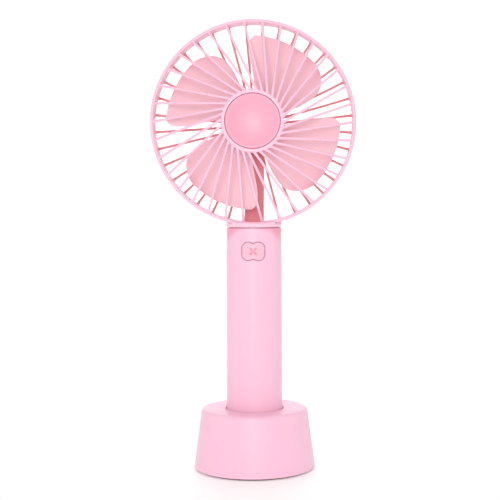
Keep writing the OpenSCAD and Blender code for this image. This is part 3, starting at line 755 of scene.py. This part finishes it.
def rib_rings(r_in, r_out, offset, top, width, depth, steps=26, flare=0.35):
    """Rings of points along one rib: a rounded bar that follows the dome and swells where it joins."""
    rings = []
    side = [(0.3, 0), (0.66, 0.03), (0.9, 0.12), (1, 0.3), (1, 0.86), (0.8, 1)]
    bar = [(-across, down) for across, down in side[-2::-1]] + side + [(-0.8, 1)]
    x0, x1 = math.sqrt(r_in ** 2 - offset ** 2), math.sqrt(r_out ** 2 - offset ** 2)
    for k in range(steps + 1):
        x = x0 + (x1 - x0) * k / steps
        r = math.hypot(x, offset)
        ends = math.exp(-(r - r_in) / 1.4) + math.exp(-(r_out - r) / 1.4)
        half = width / 2 * (1 + flare * ends)
        crest = dome_height(r, top)
        rings.append([(x, across * half * (1 - 0.12 * down) - offset, crest - down * depth)
                      for across, down in bar])
    return rings


def swirl(shape, count, phase, rings, facing=1, skip=()):
    """Repeats a rib round the axle. A facing of -1 turns its outer face backwards."""
    for k in range(count):
        if k in skip:
            continue
        a = math.radians(phase + 360 * k / count)
        c, s = math.cos(a), math.sin(a)
        shape.tube([[(x * c - y * s, x * s + y * c, facing * z) for x, y, z in ring] for ring in rings])


def front_guard():
    """Rim, 34 swirled ribs, hub ring and the skirt that stands inside the barrel."""
    shape = Shape()
    back = part_z + part_gap
    shape.lathe(rounded([
        (rim_in, back, 0), (rim_r, back, 0.18), (rim_r, rim_front, 1.15), (rim_in, rim_front, 0.45)],
        closed=True, steps=7), 288, closed=True)
    shape.lathe(rounded([
        (rim_in - 0.1, -grille_high.y, 0.1), (barrel_in - 0.1, -grille_high.y, 0.12),
        (barrel_in - 0.1, 2.6, 0), (rim_in + 0.1, 2.6, 0), (rim_in - 0.1, 1.5, 0.1)],
        closed=True, steps=3), 192, closed=True)
    shape.lathe(rounded([
        (0, hub_plate, 0), (hub_r, hub_plate, 0.25), (hub_r, hub_front, 0.6), (hub_in, hub_front, 0.35),
        (hub_in, hub_plate + plate_t, 0.15), (0, hub_plate + plate_t, 0)], steps=6), 192)
    swirl(shape, front_ribs, front_phase,
          rib_rings(hub_in + 0.7, rib_end_r, front_offset, rim_front - 0.4, rib_w, rib_depth))
    piece = make("front_guard", shape, HEAD)
    return finish_piece(piece, "handset", "front_grille", "pink_plastic", pink)


def centre_disc():
    """The dished disc in the middle of the guard."""
    shape = Shape()
    r, front = cap_r, cap_front
    bowl_r = ((r - 1) ** 2 + dish_depth ** 2) / (2 * dish_depth)
    low = front - dish_depth + bowl_r
    bowl = [(x, low - math.sqrt(bowl_r ** 2 - x * x)) for x in [(r - 1.25) * k / 24 for k in range(25)]]
    seat = hub_plate + plate_t + 0.02
    lip = rounded([(*bowl[-1], 0), (r - 0.95, front, 0.35), (r, front, 0.3), (r, seat, 0.1), (0, seat, 0)],
                  steps=6)
    shape.lathe(bowl[:-1] + lip, 192)
    for a in (90, 210, 330):
        pin = Shape()
        pin.lathe([(0, seat - 1.92), (1, seat - 1.92), (1, seat + 0.18), (0, seat + 0.18)], 32)
        x, y = 9 * math.cos(math.radians(a)), 9 * math.sin(math.radians(a))
        first = len(shape.points)
        shape.points += [(px + x, py + y, pz) for px, py, pz in pin.points]
        shape.faces += [[k + first for k in face] for face in pin.faces]
    return finish_piece(make("centre_disc", shape, HEAD), "handset", "hub_cap", "deep_pink_plastic", rose)


def neck_collar():
    """The round neck under the head, hollowed to the rim's curve."""
    shape = Shape()
    top = axle_z - 44
    low = collar_z - 0.4
    shape.lathe(rounded([(0, low, 0), (handle_r, low, 0.2), (handle_r, top, 0), (0, top, 0)]), 160)
    collar = make("collar", shape)
    rim_clear = cylinder("rim_clear", rim_r + 0.15, part_z, rim_front + 0.15, 512, HEAD)
    front_clear = cylinder("front_clear", rim_r - 1.1, rim_front, 30, 512, HEAD)
    barrel_clear = cylinder("barrel_clear", barrel_in + 0.3, rim_back + 0.6, 12, 512, HEAD)
    back_clear = cylinder("back_clear", rim_r - 1.1, -40, rim_back + 1, 512, HEAD)
    return bevel(cut(collar, rim_clear, front_clear, barrel_clear, back_clear), 0.14)


def spigot():
    """The plug in the handle's top, cleared for the upper screws, their seats and the wires."""
    r = handle_r - wall - 0.15
    shape = Shape()
    shape.lathe(rounded([(0, housing_low.z, 0), (r, housing_low.z, 0.4), (r, collar_z + 0.6, 0),
                         (0, collar_z + 0.6, 0)]), 128)
    tools = []
    for x, z in SCREWS[:2]:
        turn = Matrix.Translation((x, 0, z)) @ Matrix.Rotation(math.radians(-90), 4, "X")
        tools.append(cylinder("seat_clear", 2.85, 7.2, 14, 48, turn))
        tools.append(cylinder("screw_clear", screw_core_r, -14, 8, 32, turn))
    for x in (-0.8, 0.8):
        place = Matrix.Translation((x, 4.7, 0))
        tools.append(cylinder("wire_clear", 1.5, housing_low.z - 1, collar_z + 2, 32, place))
    return cut(make("spigot", shape), *tools)


def rear_body():
    """Barrel, rear ribs, motor cup, wire duct, neck collar and the spigot in the handle, joined in one."""
    barrel, shape = Shape(), Shape()
    front = part_z - part_gap
    barrel.lathe(rounded([
        (barrel_in, front, 0), (barrel_in, rim_back, 0.2), (rim_r, rim_back, 0.95), (rim_r, front, 0.18)],
        closed=True, steps=7), 288, closed=True)
    behind_duct = [k for k in range(rear_ribs) if abs(rear_phase + 360 * k / rear_ribs - 270) < 6]
    swirl(shape, rear_ribs, rear_phase,
          rib_rings(rear_hub_r - 1, rib_end_r, 0, -rim_back - 0.2, rib_w, rib_depth), -1, behind_duct)
    shape.lathe(rounded([
        (cup_in, rear_hub_back, 0), (rear_hub_r, rear_hub_back, 0.1), (rear_hub_r, rear_hub_back + 3, 0.5),
        (cup_r, rear_hub_back + 3, 0.3), (cup_r, cup_front, 0.5), (3.2, cup_front, 0),
        (3.2, cup_front - 1.2, 0), (cup_in, cup_front - 1.2, 0)], closed=True), 160, closed=True)
    shape.tube(duct_rings())
    guard = make("rear_guard", shape, HEAD)
    # The rear ribs, motor cup and duct take the pink darkened by painted shade.
    guard.data.materials.append(shaded_guard_pink)
    plug = spigot()
    plug.data.materials.append(rose)
    outside = [make("rear_body", barrel, HEAD), neck_collar()]
    for part in outside:
        part.data.materials.append(pink)
    piece = join("rear_body", outside + [plug, guard])
    return finish_piece(piece, "handset", "rear_housing", "pink_plastic")


def duct_rings():
    """The flat duct behind the blades that carries the leads from the neck to the motor."""
    rings = []
    for k in range(25):
        r = cup_r - 0.4 + (rib_end_r + 0.3 - cup_r + 0.4) * k / 24
        back = -dome_height(r, -rim_back - 0.2)
        half, front = duct_w / 2, back + duct_depth
        outline = rounded([(-half, back, 0.7), (half, back, 0.7), (half, front, 1.1), (-half, front, 1.1)],
                          closed=True, steps=4)
        rings.append([(x, -r, z) for x, z in outline])
    return rings


def back_disc():
    """The cover behind the motor, with two shallow turned steps and a ring that locates it in the cup."""
    shape = Shape()
    back, front, seat, r = -rear_cap_high.y, -rear_cap_low.y, rear_hub_back - 0.02, rear_hub_r
    locate_r, locate_in = 12.2, 11.2
    shape.lathe(rounded([
        (0, back + 0.5, 0), (4, back + 0.5, 0.2), (4.6, back + 0.15, 0.2), (9.2, back + 0.15, 0.2),
        (9.8, back, 0.2), (r, back, 0.95), (r, seat, 0.1), (locate_r, seat, 0), (locate_r, front, 0.1),
        (locate_in, front, 0.1), (locate_in, seat, 0), (0, seat, 0)], steps=5), 160)
    return finish_piece(make("back_disc", shape, HEAD), "handset", "rear_cap", "pink_plastic", pink)


# ---- Impeller ----


def blade_point(r, v):
    """A blade's middle surface: r from root to tip, v from the leading to the trailing edge."""
    t = max(0.0, (r - imp_hub_r) / (tip_r - imp_hub_r))
    lead = 18.5 + 10 * t ** 2 + 14 * t ** 9
    trail = 83.5 + 25.5 * t - 16.2 * t ** 2 - 4.5 * t ** 16
    a = math.radians(lead + (trail - lead) * v)
    z = (-1 - 2.6 * t) * (1 - v) + (7.9 - 1.4 * t) * v - 1.6 * math.sin(math.pi * v) * (0.6 + 0.4 * t)
    return Vector((r * math.cos(a), r * math.sin(a), z))


def blade(shape, turn, spans=34, chords=40):
    """One blade: two skins that meet in a rounded edge, thicker at the root."""
    def spread(k, n):
        return 0.5 - 0.5 * math.cos(math.pi * k / n)

    reach = tip_r - 0.05 - blade_root
    radii = [blade_root + reach * math.sin(math.pi / 2 * k / spans) for k in range(spans + 1)]
    rows = [[blade_point(r, spread(j, chords)) for j in range(chords + 1)] for r in radii]
    skins = {}
    for side in (1, -1):
        skin = []
        for i, r in enumerate(radii):
            t = (r - blade_root) / (tip_r - blade_root)
            row = []
            for j in range(chords + 1):
                v = spread(j, chords)
                along = rows[min(i + 1, spans)][j] - rows[max(i - 1, 0)][j]
                across = rows[i][min(j + 1, chords)] - rows[i][max(j - 1, 0)]
                normal = along.cross(across).normalized()
                edge = min(1, (v * (1 - v)) ** 0.5 * 3.2) * min(1, ((1 - t) * 9) ** 0.5)
                thick = blade_t * (1 - 0.35 * t) * edge * (1 + 0.8 * math.exp(-(r - imp_hub_r) / 0.9))
                row.append(rows[i][j] + normal * (side * thick / 2))
            skin.append([turn @ p for p in row])
        skins[side] = skin
    shape.grid(skins[1])
    shape.grid([row[::-1] for row in skins[-1]])
    shape.grid([skins[1][0], skins[-1][0]])


def impeller():
    """The hub and its four cambered blades."""
    shape = Shape()
    for k in range(blade_count):
        blade(shape, Matrix.Rotation(TAU * k / blade_count, 3, "Z"))
    bore_r, bore_end, boss_r, boss_back, skin = 1.01, 6.9, 3.2, -1.2, 1.3
    inner_r, ceiling = imp_hub_r - skin, imp_front - skin
    shape.lathe(rounded([
        (0, bore_end, 0), (bore_r, bore_end, 0), (bore_r, boss_back, 0), (boss_r, boss_back, 0.3),
        (boss_r, ceiling, 0.6), (inner_r, ceiling, 0.6), (inner_r, imp_back, 0.2),
        (imp_hub_r, imp_back, 0.3), (imp_hub_r, imp_front, 1.5), (0, imp_front, 0)]), 160)
    piece = make("fan_blades", shape, HEAD, smooth=48)
    return finish_piece(piece, "rotor", "impeller", "deep_pink_plastic", blade_pink)


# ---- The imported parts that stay, and the studio ----


def dress_packed_parts():
    """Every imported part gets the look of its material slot. Its shape is left as it is."""
    for row in frame["record"]["subparts"]:
        part = frame["nodes"][row["node"]]
        part.data.materials.clear()
        part.data.materials.append(SLOT_LOOKS[row["material_slot"]])


def studio():
    """A pale seamless floor, a bright surround, and soft panels above, in front, beside and behind."""
    shape = Shape()
    outline = rounded([(-900, 0, 0), (700, 0, 400), (700, 1500, 0)], steps=24)
    shape.grid([[(x, y, z) for x in (-1400, 1400)] for y, z in outline])
    floor = make("floor", shape, smooth=60)
    n = Nodes("pale_floor")
    tone = n.mix(n.ramp(n.noise(60, 3), 0.3, 0.7), rgba(0.93, 0.93, 0.935), rgba(0.95, 0.95, 0.95))
    n.set(Emission_Color=(1, 1, 1, 1), Emission_Strength=0.14)
    floor.data.materials.append(n.set(Base_Color=tone, Roughness=0.6))
    world = bpy.data.worlds.new("surround")
    world.use_nodes = True
    world.node_tree.nodes["Background"].inputs["Color"].default_value = (1, 0.995, 0.99, 1)
    world.node_tree.nodes["Background"].inputs["Strength"].default_value = 0.55
    bpy.context.scene.world = world
    panel("above", (0, -150, 620), (0, 0, 120), 420, 0.3)
    panel("front", (-30, -640, 230), (0, 0, 110), 200, 1.5, (1.0, 0.975, 0.91))
    panel("side_left", (-620, -60, 200), (0, 0, 120), 300, 0.25)
    panel("side_right", (620, -60, 200), (0, 0, 120), 300, 0.25)
    panel("backdrop_light", (0, 330, 540), (0, 740, 130), 420, 2.2)


def panel(name, place, target, width, power, colour=(1, 1, 1)):
    """A square area lamp aimed at a point."""
    data = bpy.data.lights.new(name, "AREA")
    data.size = width * MM
    data.energy = power
    data.color = colour
    lamp = bpy.data.objects.new(name, data)
    bpy.context.scene.collection.objects.link(lamp)
    lamp.location = Vector(place) * MM
    lamp.rotation_euler = (Vector(target) - Vector(place)).to_track_quat("-Z", "Y").to_euler()


def camera():
    """A level camera in front of the fan, its frame shifted down so that uprights stay upright."""
    data = bpy.data.cameras.new("camera")
    data.sensor_width = 36
    data.lens = 82.3
    data.shift_x = -0.078
    data.shift_y = -0.110
    eye = bpy.data.objects.new("camera", data)
    bpy.context.scene.collection.objects.link(eye)
    eye.location = Vector((17.2, -560, 133)) * MM
    eye.rotation_euler = (Matrix.Rotation(math.radians(90), 3, "X")
                          @ Matrix.Rotation(math.radians(-0.19), 3, "Z")).to_euler()
    bpy.context.scene.camera = eye


dress_packed_parts()
base_shell()
foot_pad()
handle_front()
handle_back()
bottom_cap()
power_button()
front_guard()
centre_disc()
rear_body()
back_disc()
impeller()
studio()
camera()
bpy.context.scene.view_settings.view_transform = "Standard"
